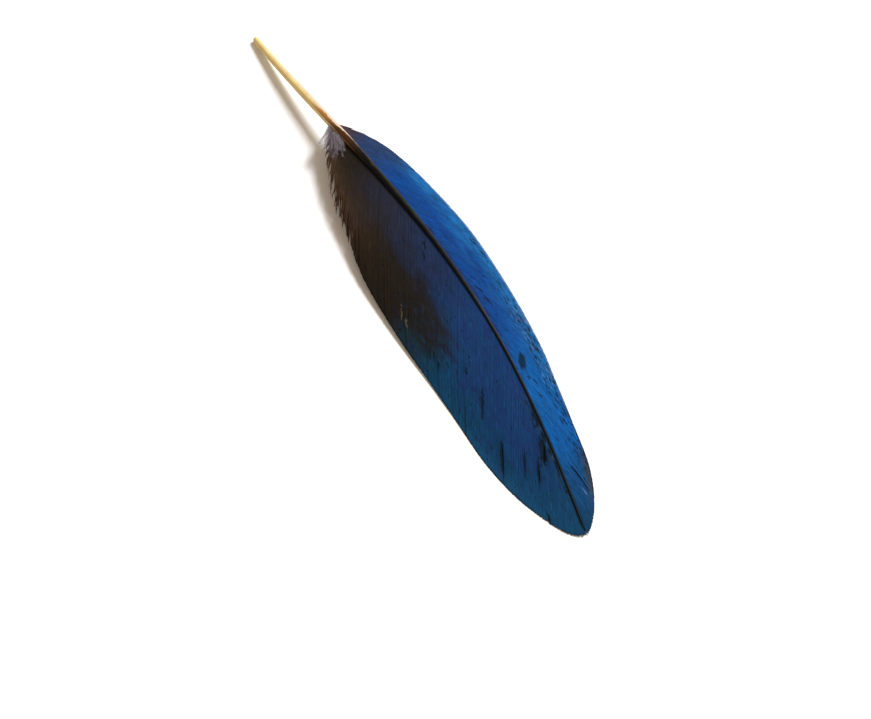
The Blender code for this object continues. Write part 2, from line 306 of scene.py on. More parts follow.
def make_vane(name, side, materials, seed):
    """One vane: BARBS closed ribbons from the rachis to the margin."""
    rng = np.random.default_rng(seed)
    spacing = (RACHIS_END - QUILL_END) / BARBS
    starts = QUILL_END + spacing * (np.arange(BARBS) + 0.5)
    starts = starts + spacing * UNEVEN_SPACING * rng.uniform(-1, 1, BARBS)
    numbers, lock_lifts = locks_of(rng)
    chance = rng.uniform(0, 1, BARBS)

    # Arrays are barbs x stations x points of the section. Each point of a section runs out to
    # the margin, so that the barbs' ends follow it.
    starts, chance = starts[:, None, None], chance[:, None, None]
    lift = lock_lifts[numbers][:, None, None]
    offset, rise, ridge = np.array(BARB_TOP + BARB_UNDERSIDE).T
    part = 1 - (1 - np.linspace(0, 1, BARB_STATIONS)[:, None]) ** STATION_CROWDING
    loose = 1 - smooth_step(QUILL_END, LOOSE_UNTIL[side], starts)
    ends = starts + spacing * offset
    lengths = np.minimum(barb_length(side, np.clip(ends, QUILL_END, RACHIS_END)),
                         FIRST_BARB[side] + FIRST_GROWTH[side] * np.maximum(ends - QUILL_END, 0.0))
    shortening = RAGGED_TIPS + LOOSE_SHORTENING[side] * loose
    lengths = lengths - shortening * rng.uniform(0, 1, BARBS)[:, None, None] ** 2
    run = part * lengths
    loose = loose * smooth_step(LOOSE_PART, 1.0, part)
    narrowing = np.clip((lengths - run) / TIP_TAPER, 0.0, 1.0) ** 0.5
    narrowing = TIP_NARROWNESS + (1 - TIP_NARROWNESS) * narrowing
    narrowing = narrowing * (1 - (1 - LOOSE_NARROWNESS) * loose)

    is_web = np.abs(offset) > RIDGE_HALF_WIDTH
    here = spread_apart(side, starts, run, spacing)
    beyond = spread_apart(side, starts + spacing, run, spacing) - here
    before = here - spread_apart(side, starts - spacing, run, spacing)
    stretch = np.where(offset > 0, beyond, -before)
    opened = np.clip(np.abs(stretch) / (OPEN_GAP * spacing), 0.0, 1.0)
    edge = np.diff(numbers, prepend=-1) - np.diff(numbers, append=numbers[-1] + 1)
    lock_gap = 0.5 * LOCK_GAP * edge[:, None, None] * smooth_step(LOCK_GAP_START, 1.0, part)
    own_sway = rng.uniform(-1, 1, BARBS)[:, None, None]
    sway = LOOSE_SWAY[side] / LENGTH * (LOCK_SWAY * lift + (1 - LOCK_SWAY) * own_sway) * loose
    waves = LOOSE_WAVE[side] / LENGTH * loose
    waves = waves * np.sin(run / LOOSE_WAVE_LENGTH + 2 * math.pi * chance)
    shifted = starts + here + sway + waves + shift_along(side, starts, lock_gap)
    shifted = shifted + WAVER * spacing * part * np.sin(run / WAVER_LENGTH + WAVER_DRIFT * starts)
    shifted = shifted + offset * spacing * narrowing
    shifted = shifted + np.where(is_web, WEB_STRETCH * stretch, 0.0)
    along, across = barb_place(side, np.minimum(shifted, RACHIS_END + 0.5 * spacing), run)

    height = rise * narrowing - np.where(is_web, PARTING_DEPTH * opened, 0.0)
    height = height + LOCK_LIFT * lift * smooth_step(LOCK_LIFT_START, 1.0, part)
    height = height + UNEVEN_HEIGHT * (2 * chance - 1)
    height = height + LOOSE_LIFT[side] * rng.uniform(*LOOSE_LIFTS, BARBS)[:, None, None] * loose
    root = ROOT_LIFT * shaft_radius(starts) * np.exp(-across / ROOT_LIFT_REACH)
    points = in_space(side, along, across, height + root)

    around = len(offset)
    quads, first, last = tube_faces(BARBS, BARB_STATIONS, around)
    tops = len(BARB_TOP) - 1
    upper = np.isin(np.arange(around), (*range(tops + 1), around - 1))   # with the thin edges
    is_top = np.tile(upper, BARBS * (BARB_STATIONS - 1))
    faces = quads.tolist() + first.tolist() + last.tolist()
    slots = np.concatenate((np.where(is_top, 0, 1), np.ones(BARBS, int), np.zeros(BARBS, int)))
    if side == INNER:
        faces = [face[::-1] for face in faces]

    share = across / margin_width(side, np.minimum(along, ALMOST_TIP))
    opened = np.where(is_web, opened, np.where(ridge < 1.0, OPEN_SIDES * opened, 0.0))
    attributes = {"place": vectors(along, np.clip(share, 0.0, MOST_SHARE), ridge),
                  "barb": vectors(starts * LENGTH / MM, run / MM, chance),
                  "parting": vectors(opened, across / MM, 0.0)}
    unwrapped = unwrap_barbs(faces, around, tops)
    make_piece(name, points, faces, materials, attributes, slots, unwrapped)


FLAT_COLUMNS = 2              # columns of barbs in each half of the unwrapped vane
STRIP_START, STRIP_LENGTH = 0.01, 0.96   # of a barb's strip, as shares of its column
STRIP_SIDE, STRIP_WIDTH = 0.04, 0.92     # and as shares of its row
CAP_PLACE, CAP_HALF_LENGTH, CAP_HALF_WIDTH = 0.985, 0.0015, 0.3


def unwrap_barbs(faces, around, tops):
    """Each barb as flat strips: its upper side in the left half, its underside in the right."""
    flat = []
    per_barb, per_column = around * BARB_STATIONS, BARBS // FLAT_COLUMNS
    width = 0.5 / FLAT_COLUMNS
    for face in faces:
        column, row = divmod(face[0] // per_barb, per_column)
        if len(face) != 4:      # a cap, in a corner of its own at the end of the underside's strip
            for corner in range(len(face)):
                turn = 2 * math.pi * corner / len(face)
                u = 0.5 + width * (column + CAP_PLACE) + CAP_HALF_LENGTH * math.cos(turn)
                flat.append((u, (row + 0.5 + CAP_HALF_WIDTH * math.sin(turn)) / per_column))
            continue
        points = [index % around for index in face]
        wraps = max(points) - min(points) > 1
        points = [around if wraps and point == 0 else point for point in points]
        on_top = max(points) <= tops
        for index, point in zip(face, points):
            station = (index % per_barb) // around
            u = width * (column + STRIP_START + STRIP_LENGTH * station / (BARB_STATIONS - 1))
            v = point / tops if on_top else (point - tops) / (around - tops)
            v = (row + STRIP_SIDE + STRIP_WIDTH * v) / per_column
            flat.append((u if on_top else u + 0.5, v))
    return np.array(flat)


# ------------ the shaft

SHAFT_STATIONS, SHAFT_AROUND = 220, 28
SHAFT_CROWDING = 1.25         # above 1, the stations lie closer together towards the quill's end
SHAFT_END, SHAFT_END_RADIUS = 0.998, 0.13 * MM   # the rachis runs on as a dark hair
THINNING_LENGTH = 0.04        # to which it thins over this stretch before the solid's rachis ends
END_LIFT, END_LIFT_LENGTH = 0.08 * MM, 0.08      # keeps it above the closing vanes
BLUNTNESS = 0.62              # share of its radius that the quill has at its very end
SQUARENESS = 0.10             # how far the rachis is from round in section
SQUARING = (QUILL_END - 0.02, QUILL_END + 0.06)       # where along it becomes so
GROOVE_DEPTH, GROOVE_WIDTH = 0.30, math.radians(24)   # along the rachis's underside
GROOVE_START, GROOVE_RUN_IN = 0.27, 0.05
UMBILICUS_DEPTH, UMBILICUS_RADIUS = 1.1 * MM, 0.42    # the hole in the quill's end
UMBILICUS_STATIONS, UMBILICUS_TAPER = 5, 0.8
BUMPINESS, BUMP_WAVES, BUMP_DRIFT = 0.012, range(2, 6), 40   # of the shaft's sides


def make_shaft(material, seed):
    """The quill and rachis: one closed tube, hollowed at the quill's end."""
    rng = np.random.default_rng(seed)
    outside = np.linspace(0, 1, SHAFT_STATIONS)
    along = SHAFT_END * outside**SHAFT_CROWDING
    rounding = np.clip(along * LENGTH / QUILL_TIP_RADIUS, 0.0, 1.0)
    rounding = BLUNTNESS + (1 - BLUNTNESS) * np.sin(0.5 * math.pi * rounding)
    thinning = smooth_step(RACHIS_END - THINNING_LENGTH, SHAFT_END, along)
    radius = shaft_radius(along) * rounding * (1 - thinning) + SHAFT_END_RADIUS * thinning
    hole = np.linspace(1, 0, UMBILICUS_STATIONS + 1)[:-1]
    along = np.concatenate((hole * UMBILICUS_DEPTH / LENGTH, along))
    inside = UMBILICUS_RADIUS * QUILL_TIP_RADIUS * (1 - UMBILICUS_TAPER * hole**3)
    radius = np.concatenate((inside, radius))

    turn = 2 * math.pi * np.arange(SHAFT_AROUND) / SHAFT_AROUND
    stations = along[:, None]
    square = 1 - SQUARENESS * smooth_step(*SQUARING, stations) * np.cos(4 * turn)
    off_groove = np.angle(np.exp(1j * (turn + 0.5 * math.pi)))
    groove = GROOVE_DEPTH * smooth_step(GROOVE_START, GROOVE_START + GROOVE_RUN_IN, stations)
    groove = groove * np.exp(-(off_groove / GROOVE_WIDTH) ** 2)
    waves = sum(rng.uniform(-1, 1) * np.sin(k * turn + rng.uniform(0, 6) + BUMP_DRIFT * stations)
                for k in BUMP_WAVES)
    spread = radius[:, None] * square * (1 - groove) * (1 + BUMPINESS * waves)
    heading = rachis_heading(stations)
    x = stations * LENGTH - spread * np.cos(turn) * np.sin(heading)
    y = rachis_bow(stations) + spread * np.cos(turn) * np.cos(heading)
    z = np.maximum(rachis_height(stations) + spread * np.sin(turn), LOWEST_POINT)
    z = z + END_LIFT * smooth_step(RACHIS_END - END_LIFT_LENGTH, SHAFT_END, stations)
    points = vectors(x, y, z) - ORIGIN

    count = len(along)
    quads, first, last = tube_faces(1, count, SHAFT_AROUND)
    faces = quads.tolist() + first.tolist() + last.tolist()
    in_hole = np.arange(count)[:, None] < len(hole)
    place = vectors(np.where(in_hole, -1.0, stations), np.sin(turn), np.cos(turn))
    make_piece("shaft", points, faces, [material], {"place": place})


# ------------ the down

# For each side: number of barbs, first and last start, shortest and longest, least and greatest
# angle to the rachis in degrees, and lowest and highest lift over the vane at their ends
DOWN = {
    OUTER: (7, 0.240, 0.290, 3.5 * MM, 7.0 * MM, 36.0, 62.0, -1.2 * MM, -0.5 * MM),
    INNER: (40, 0.242, 0.276, 4.2 * MM, 7.2 * MM, 32.0, 56.0, -0.1 * MM, 0.8 * MM),
}
DOWN_RADIUS, DOWN_STATIONS = 0.040 * MM, 22
DOWN_SCATTER = (0.2, 0.8)     # where in its own stretch of rachis a barb can stand
DOWN_BENDS = (-4, 6)          # degrees per mm of a barb, least and most
DOWN_LIFTING = (-0.2, 0.6)    # the shares of its length between which it lifts off the vane
DOWN_WAVE, DOWN_WAVE_LENGTH = 0.25 * MM, 1.3 * MM    # how they wave up and down
BARBULES_PER_MM = 9.0
BARBULE_LENGTH, BARBULE_RADIUS, BARBULE_STATIONS = 0.90 * MM, 0.018 * MM, 4
BARBULE_SHARES = (0.6, 1.1)   # shares of that length that they have, least and most
BARBULE_SHORTENING = 0.5      # share of it that is lost towards the end of a barb
BARBULE_LEAN, BARBULE_RISE = (0.5, 0.9), (-0.35, 0.45)   # forward and upward, least and most
BARBULE_CURL = 0.35           # forward
BARB_THINNING, BARBULE_THINNING = 0.8, 0.7   # shares of their radius lost at their ends
LOWEST_BARBULE = 0.05 * MM
AHEAD = 0.05                  # share of a barb over which its direction is taken
THREAD_SIDES = 3              # corners of a down barb's or barbule's section


def bent_tube(path, radii):
    """Rings of points round a path that is not vertical, thinning as radii says."""
    ahead = np.gradient(path, axis=0)
    ahead /= np.linalg.norm(ahead, axis=1, keepdims=True)
    beside = np.cross(ahead, (0.0, 0.0, 1.0))
    beside /= np.linalg.norm(beside, axis=1, keepdims=True)
    above = np.cross(beside, ahead)
    turn = 2 * math.pi * np.arange(THREAD_SIDES)[None, :, None] / THREAD_SIDES
    ring = np.cos(turn) * beside[:, None] + np.sin(turn) * above[:, None]
    return path[:, None] + ring * radii[:, None, None]


def make_down(material, seed):
    """Loose, fluffy barbs at the base of both vanes, each with its fringe of barbules."""
    rng = np.random.default_rng(seed)
    tubes = []
    for side, (count, first, last, shortest, longest, least, greatest, low, high) in DOWN.items():
        for number in range(count):
            start = first + (last - first) * (number + rng.uniform(*DOWN_SCATTER)) / count
            length = rng.uniform(shortest, longest)
            run = np.linspace(0, 1, DOWN_STATIONS) * length
            bend = math.radians(rng.uniform(*DOWN_BENDS)) / MM
            angle = math.radians(rng.uniform(least, greatest)) - bend * run
            step = length / (len(run) - 1)
            along = start + np.concatenate(([0], np.cumsum(np.cos(angle[1:]) * step))) / LENGTH
            across = np.concatenate(([0], np.cumsum(np.sin(angle[1:]) * step)))
            wave = DOWN_WAVE * np.sin(run / DOWN_WAVE_LENGTH + rng.uniform(0, 6)) * run / length
            lift = rng.uniform(low, high) * smooth_step(*DOWN_LIFTING, run / length) + wave
            path = in_space(side, along, across, lift)
            radii = DOWN_RADIUS * (1 - BARB_THINNING * run / length)
            tubes.append((bent_tube(path, radii), run / MM, 0.0))
            tubes += barbules_of(path, run, length, rng)
    points, faces, places, base = [], [], [], 0
    for rings, run, fringe in tubes:
        quads, first, last = tube_faces(1, rings.shape[0], rings.shape[1])
        faces += [[index + base for index in face[::-1]]
                  for face in quads.tolist() + first.tolist() + last.tolist()]
        points.append(rings.reshape(-1, 3))
        base += len(points[-1])
        chance = rng.uniform()
        place = [(out, fringe, chance) for out in run]
        places.append(np.repeat(place, rings.shape[1], axis=0))
    make_piece("down", np.concatenate(points), faces, [material],
               {"place": np.concatenate(places)})


def barbules_of(path, run, length, rng):
    """The fine side threads of one down barb, as thin tubes."""
    def path_at(out):
        return np.array([np.interp(out * length, run, path[:, axis]) for axis in range(3)])

    tubes = []
    upwards = np.array((0.0, 0.0, 1.0))
    steps = np.linspace(0, 1, BARBULE_STATIONS)[:, None]
    count = int(length / MM * BARBULES_PER_MM)
    for number in range(count):
        where = (number + rng.uniform(0, 1)) / count
        root = path_at(where)
        ahead = path_at(where + AHEAD) - root if where < 1 - AHEAD else path[-1] - path[-3]
        ahead = ahead / np.linalg.norm(ahead)
        for way in (1, -1):
            beside = np.cross(ahead, upwards) * way
            reach = BARBULE_LENGTH * rng.uniform(*BARBULE_SHARES)
            reach = reach * (1 - BARBULE_SHORTENING * where)
            lean = rng.uniform(*BARBULE_LEAN)
            rise = rng.uniform(*BARBULE_RISE)
            thread = root + reach * (steps * (lean * ahead + (1 - lean**2) ** 0.5 * beside)
                                     + steps**2 * (BARBULE_CURL * ahead + rise * upwards))
            thread[:, 2] = np.maximum(thread[:, 2], LOWEST_BARBULE)
            radii = BARBULE_RADIUS * (1 - BARBULE_THINNING * steps[:, 0])
            tubes.append((bent_tube(thread, radii), steps[:, 0] * reach / MM, 1.0))
    return tubes


# ------------ materials

def tone(red, green, blue):
    """A colour given by its shares of full screen brightness, as a shader takes it."""
    return tuple(((c + 0.055) / 1.055) ** 2.4 if c > 0.04045 else c / 12.92
                 for c in (red, green, blue)) + (1.0,)


# The upper side: blues over black melanin
COBALT = tone(0.03, 0.27, 0.56)
AZURE = tone(0.03, 0.38, 0.68)
SKY = tone(0.10, 0.41, 0.67)
SLATE = tone(0.16, 0.24, 0.38)
NAVY = tone(0.08, 0.215, 0.41)
MIDNIGHT = tone(0.10, 0.17, 0.31)
INDIGO = tone(0.13, 0.14, 0.20)
TEAL = tone(0.05, 0.255, 0.385)
UMBER = tone(0.175, 0.130, 0.065)
SOOT = tone(0.12, 0.093, 0.052)
BARK = tone(0.30, 0.21, 0.16)
PLUM = tone(0.25, 0.20, 0.22)
VIOLET = tone(0.13, 0.14, 0.36)
DOVE = tone(0.50, 0.46, 0.50)
FAWN = tone(0.38, 0.34, 0.27)
LILAC = tone(0.50, 0.60, 0.74)
PEWTER = tone(0.22, 0.27, 0.33)
STEEL = tone(0.07, 0.30, 0.50)
INK = tone(0.03, 0.09, 0.13)
MOSS = tone(0.15, 0.26, 0.28)
LAGOON = tone(0.09, 0.18, 0.22)
BLACK = tone(0.02, 0.02, 0.03)
# The underside
BRICK = tone(0.66, 0.24, 0.13)
ASH = tone(0.50, 0.50, 0.53)
DUSK = tone(0.36, 0.28, 0.25)
GLOW = tone(0.95, 0.52, 0.20)     # light that has come through the vane
# Shaft and down
IVORY = tone(0.93, 0.86, 0.62)
HONEY = tone(0.72, 0.53, 0.30)
# pale pink, painted as a highlight along the shaft's outer edge
BLUSH = tone(0.90, 0.78, 0.69)
CHESTNUT = tone(0.30, 0.18, 0.07)
HORN = tone(0.62, 0.50, 0.40)
JET = tone(0.02, 0.02, 0.02)
# olive; on the rachis's outer side it is painted as a sheen
OLIVE = tone(0.165, 0.175, 0.13)
# a grey sheen painted along the rachis's outer side
SHEEN_GREY = tone(0.09, 0.135, 0.15)
FLUFF = tone(0.70, 0.66, 0.70)
PAPER = tone(0.95, 0.95, 0.96), tone(0.97, 0.97, 0.97)   # the floor's, darkest and lightest


class Shading:
    """A material being made. Most methods add nodes and return the output they end in."""

    def __init__(self, name):
        self.material = bpy.data.materials.new(name)
        self.material.use_nodes = True
        self.tree = self.material.node_tree
        self.shader = self.tree.nodes["Principled BSDF"]
        self.output = self.tree.nodes["Material Output"]

    def feed(self, socket, value):
        if isinstance(value, bpy.types.NodeSocket):
            self.tree.links.new(value, socket)
        else:
            socket.default_value = value

    def node(self, kind, *values, **named):
        """A node whose inputs take values in their order and by their names."""
        node = self.tree.nodes.new(kind)
        for socket, value in zip(node.inputs, values):
            self.feed(socket, value)
        for name, value in named.items():
            self.feed(node.inputs[name], value)
        return node

    def reading(self, attribute):
        """The three numbers of a vector that the mesh holds."""
        source = self.node("ShaderNodeAttribute")
        source.attribute_name = attribute
        return self.node("ShaderNodeSeparateXYZ", source.outputs["Vector"]).outputs

    def maths(self, operation, *values):
        node = self.node("ShaderNodeMath", *values)
        node.operation = operation
        return node.outputs[0]

    def plus(self, first, second):
        return self.maths("ADD", first, second)

    def minus(self, first, second):
        return self.maths("SUBTRACT", first, second)

    def times(self, first, *others):
        for other in others:
            first = self.maths("MULTIPLY", first, other)
        return first

    def most(self, first, *others):
        for other in others:
            first = self.maths("MAXIMUM", first, other)
        return first

    def fade(self, value, low, high, start=0.0, end=1.0):
        """Runs smoothly from start to end while value runs from low to high."""
        node = self.node("ShaderNodeMapRange", value, low, high, start, end)
        node.interpolation_type = "SMOOTHSTEP"
        return node.outputs[0]

    def within(self, value, low, high, softness):
        """1 while value lies between low and high."""
        return self.times(self.fade(value, low - softness, low + softness),
                          self.fade(value, high - softness, high + softness, 1.0, 0.0))

    def ragged(self, value, noise, amount, reach=0.2):
        """value, moved by up to amount either way where noise is that far from its middle."""
        return self.plus(value, self.fade(noise, 0.5 - reach, 0.5 + reach, -amount, amount))

    def noise(self, place, sizes, detail=2.0, sharpness=0.5):
        """Noise from 0 to 1 at place, three numbers, of which sizes divides the first ones."""
        parts = [self.maths("DIVIDE", value, size) for value, size in zip(place, sizes)]
        vector = self.node("ShaderNodeCombineXYZ", *parts, *place[len(parts):]).outputs[0]
        return self.node("ShaderNodeTexNoise", Vector=vector, Scale=1.0, Detail=detail,
                         Roughness=sharpness).outputs[0]

    def blot(self, place, patch, noise, raggedness=0.7):
        """1 in a ragged patch. place is two numbers, and patch its middle and half-widths."""
        away = [self.maths("DIVIDE", self.minus(value, middle), half)
                for value, middle, half in zip(place, patch[:2], patch[2:])]
        far = self.maths("SQRT", self.plus(*[self.times(part, part) for part in away]))
        return self.fade(self.ragged(far, noise, -raggedness, 0.25), 0.85, 1.1, 1.0, 0.0)

    def ramp(self, value, *stops):
        """A colour that runs through (place, colour) stops."""
        node = self.node("ShaderNodeValToRGB", value)
        node.color_ramp.interpolation = "EASE"
        elements = node.color_ramp.elements
        while len(elements) < len(stops):
            elements.new(0.5)
        for element, (place, colour) in zip(elements, stops):
            element.position = place
        for element, (place, colour) in zip(elements, stops):
            element.color = colour
        return node.outputs[0]

    def mix(self, factor, first, second, blend="MIX"):
        node = self.node("ShaderNodeMix")
        node.data_type = "RGBA"
        node.blend_type = blend
        for index, value in zip((0, 6, 7), (factor, first, second)):   # its sockets for colours
            self.feed(node.inputs[index], value)
        return node.outputs[2]

    def paint(self, under, over, *shares, blend="MIX"):
        """The colour under, with as much of over on it as the product of shares says."""
        return self.mix(self.times(*shares), under, over, blend)

    def bump(self, height, strength, distance):
        node = self.node("ShaderNodeBump", Strength=strength, Distance=distance, Height=height)
        self.feed(self.shader.inputs["Normal"], node.outputs[0])

    def let_through(self, share, colour):
        """Mixes in light that passes through the piece, tinted."""
        behind = self.node("ShaderNodeBsdfTranslucent", colour)
        both = self.node("ShaderNodeMixShader", share, self.shader.outputs[0], behind.outputs[0])
        self.feed(self.output.inputs["Surface"], both.outputs[0])

    def finish(self, colour, roughness, specular, sheen=0.0):
        self.feed(self.shader.inputs["Base Color"], colour)
        self.feed(self.shader.inputs["Roughness"], roughness)
        self.shader.inputs["Specular IOR Level"].default_value = specular
        self.shader.inputs["Sheen Weight"].default_value = sheen
        return self.material


SILKY = (0.50, 0.66)          # the vanes' roughness, least and most
LONGEST_SLIT = 30             # mm; partings that run further than this reach the margin
WIDE_GAP, FAINT_WEAR = 0.30, 0.85   # mm; narrower partings than this have faintly worn sides

# Spots and marks: their middle and half-widths, by along and share of the vane's width
OUTER_SPOT = (0.7505, 0.280, 0.0122, 0.098)   # the dark spot on the outer vane
OUTER_SPOT_TILT = 4.5         # how far it leans, in share per along
SMALL_SPOT = (0.776, 0.245, 0.0036, 0.050)
# and by start and run, in mm
PALE_FLECK = (122.6, 8.8, 0.28, 0.75)    # on the outer vane near the tip
EDGE_MARK = (119.0, 15.6, 0.55, 0.8)     # a dark nick by the inner vane's margin
# Painted highlights where barbs are folded and lifted
FOLD_HIGHLIGHTS = ((60.9, 24.9, 0.26, 1.2), (62.5, 26.0, 0.32, 0.9))   # pale marks in the brown
SPECK_WEAR = {OUTER: 0.8, INNER: 0.9}
SPECKS = {   # dark specks where barbs are worn through
    OUTER: ((61.1, 16.4, 0.7, 0.7), (63.4, 16.8, 0.6, 0.8), (82.4, 4.3, 0.5, 0.8),
            (84.6, 5.1, 0.7, 0.9), (80.5, 15.4, 0.6, 0.7), (88.2, 14.9, 0.8, 0.9),
            (102.8, 6.4, 0.4, 0.5), (106.4, 5.4, 0.4, 0.6)),
    INNER: ((69.2, 3.6, 0.5, 0.9), (69.0, 6.4, 0.5, 0.9), (67.4, 13.4, 0.5, 0.7),
            (77.3, 5.7, 0.4, 0.6), (85.3, 17.8, 0.4, 0.9), (72.8, 24.8, 0.5, 0.9),
            (70.9, 25.6, 0.4, 1.0), (74.4, 25.2, 0.4, 0.8), (112.9, 1.4, 1.3, 1.9),
            (115.0, 0.9, 0.9, 1.2), (117.5, 4.3, 1.2, 1.5), (116.5, 7.1, 0.5, 1.3),
            (124.2, 1.2, 0.9, 1.5), (128.3, 1.2, 0.9, 1.5), (133.0, 1.0, 0.9, 1.6)),
}


class VaneShading(Shading):
    """A vane's material, with what the mesh says of each point: along, share of the vane's width,
    and ridge, 1 on top of a barb; start and run in mm, together its spot, and chance, one number
    for each barb; opened, 1 where barbs have parted, and apart, the mm from the rachis."""

    def __init__(self, name):
        super().__init__(name)
        self.along, self.share, self.ridge = self.reading("place")
        self.start, self.run, self.chance = self.reading("barb")
        self.spot = (self.start, self.run)
        self.opened, self.apart = self.reading("parting")[:2]

    def grain(self, pattern, sizes, *texture):
        """Noise over the vane. pattern picks one of many, and sizes are those of its grains, in
        mm: by the rachis, and by the barb."""
        return self.noise((*self.spot, pattern), sizes, *texture)

    def streaks(self):
        """Fine lines along the barbs and soft patches over several of them."""
        return (self.grain(0.0, (0.5, 2.8), 2.0, 0.6), self.grain(3.7, (7.0, 5.0), 3.0, 0.55))

    def dashes(self, least, sizes):
        """Short dark strokes along the barbs, 1 where the noise passes least."""
        return self.fade(self.grain(8.1, sizes, 1.0), least, least + 0.04)

    def worn_spots(self, side, noise):
        """1 on a vane's specks, and round its short partings, whose sides have worn black."""
        specks = [self.blot(self.spot, speck, noise, 0.6) for speck in SPECKS[side]]
        torn = []
        for start, first, last, gap in PARTINGS[side]:
            if last < LONGEST_SLIT:
                tear = (start * LENGTH / MM, 0.5 * (first + last), gap, 0.5 * (last - first))
                wear = 1.0 if gap >= WIDE_GAP else FAINT_WEAR
                torn.append(self.times(self.blot(self.spot, tear, noise), wear))
        return self.most(self.times(self.most(*specks), SPECK_WEAR[side]), *torn)

    def finish_upper(self, colour, wear):
        """What both upper sides share: dark barbules, black on worn spots and as painted shade in
        the partings and beside the rachis, lighter strokes of painted silky sheen, and fine
        relief.
        """
        fine, patches = self.streaks()
        mottles = self.grain(6.3, (1.6, 1.3), 3.0, 0.6)
        shown = self.paint(colour, BLACK, self.fade(self.ridge, 0.0, 0.75, 0.26, 0.0))
        shown = self.paint(shown, BLACK, self.fade(fine, 0.25, 0.50, 0.26, 0.0))
        # Lighter strokes along the barbs: a painted silky sheen
        shown = self.paint(shown, colour, self.fade(fine, 0.52, 0.75, 0.0, 0.45), blend="ADD")
        shown = self.paint(shown, BLACK, self.fade(mottles, 0.30, 0.50, 0.22, 0.0))
        shown = self.paint(shown, BLACK, self.fade(self.chance, 0.0, 1.0, 0.09, 0.0))
        # Black where barbs have parted: the barbules' dark colour, painted as the shade down in
        # the gap
        dark = self.mix(self.fade(self.start, 58.0, 74.0), BLACK, INK)   # brown part, blue part
        shown = self.paint(shown, dark, self.most(wear, self.opened))
        self.bump(self.grain(0.0, (0.10, 0.06), 1.0), strength=0.25, distance=0.03 * MM)
        self.let_through(share=0.04, colour=GLOW)
        return self.finish(shown, self.fade(patches, 0.3, 0.7, *SILKY), specular=0.05)


def outer_upper():
    """Cobalt, lighter towards the margin, with a slate base, painted shade beside the rachis and
    a thin pale edge of painted highlight.
    """
    s = VaneShading("outer_vane_blue")
    patches, tint = s.grain(1.3, (6.0, 4.0), 3.0), s.grain(4.4, (2.2, 1.7))
    deep, painted_sheen_flecks = s.grain(7.7, (5.0, 3.2)), s.grain(5.5, (1.0, 0.8), 1.0)
    fine = s.grain(2.2, (0.5, 0.7))

    by_rachis = s.ramp(s.along, (0.272, PLUM), (0.315, SLATE), (0.40, COBALT), (0.66, COBALT),
                       (0.78, AZURE), (0.87, AZURE), (0.94, STEEL), (1.0, TEAL))
    by_margin = s.ramp(s.along, (0.272, PLUM), (0.305, SLATE), (0.335, SLATE), (0.415, SKY),
                       (0.74, SKY), (0.86, AZURE), (0.93, STEEL), (1.0, TEAL))
    turning = s.ragged(s.share, patches, 0.14, 0.25)
    colour = s.mix(s.fade(turning, 0.40, 0.92), by_rachis, by_margin)
    colour = s.paint(colour, TEAL, s.fade(tint, 0.52, 0.75, 0.0, 0.35))
    colour = s.paint(colour, NAVY, s.fade(deep, 0.35, 0.60, 0.30, 0.0))
    # Painted shade: a dark violet band beside the rachis, in the crease where the vane leaves it
    beside = s.ragged(s.share, tint, 0.05)
    colour = s.paint(colour, VIOLET, s.fade(beside, 0.05, 0.14, 0.75, 0.0),
                     s.within(s.along, 0.33, 0.74, 0.05))

    # The margin: a pale edge of painted highlight at first, then pewter, and a dark edge, with
    # pale flecks of painted sheen inside it
    near_edge = s.within(s.share, 0.62, 0.97, 0.06)
    colour = s.paint(colour, LILAC, s.fade(s.share, 0.94, 0.985, 0.0, 0.85),
                     s.within(s.along, 0.42, 0.84, 0.04))
    uneven = s.ragged(s.share, patches, 0.05)
    colour = s.paint(colour, PEWTER, s.fade(uneven, 0.66, 0.86, 0.0, 0.85),
                     s.within(s.along, 0.895, 0.955, 0.02))
    colour = s.paint(colour, SOOT, s.fade(s.share, 0.93, 0.975, 0.0, 0.7),
                     s.fade(s.along, 0.78, 0.84))
    # Pale lilac flecks near the edge: painted sheen
    colour = s.paint(colour, LILAC, s.fade(painted_sheen_flecks, 0.56, 0.68, 0.0, 0.40), near_edge,
                     s.within(s.along, 0.66, 0.80, 0.02))
    colour = s.paint(colour, LILAC, s.blot(s.spot, PALE_FLECK, fine, 0.4), 0.6)

    leant = s.plus(s.share, s.times(s.minus(s.along, OUTER_SPOT[0]), OUTER_SPOT_TILT))
    wear = s.most(
        s.times(s.dashes(0.57, (1.1, 0.85)), near_edge, s.within(s.along, 0.62, 0.92, 0.03), 0.9),
        s.times(s.dashes(0.67, (0.85, 1.3)), s.within(s.along, 0.50, 0.95, 0.04), 0.9),
        s.times(s.blot((s.along, leant), OUTER_SPOT, fine, 0.3), 0.85),
        s.times(s.blot((s.along, s.share), SMALL_SPOT, fine, 0.3), 0.65),
        s.worn_spots(OUTER, fine),
        # Dark beside the rachis towards the tip: painted shade along the rachis, counted with the
        # wear
        s.times(s.fade(s.apart, 0.15, 0.38, 1.0, 0.0), s.within(s.along, 0.76, 0.992, 0.01)))
    return s.finish_upper(colour, wear)


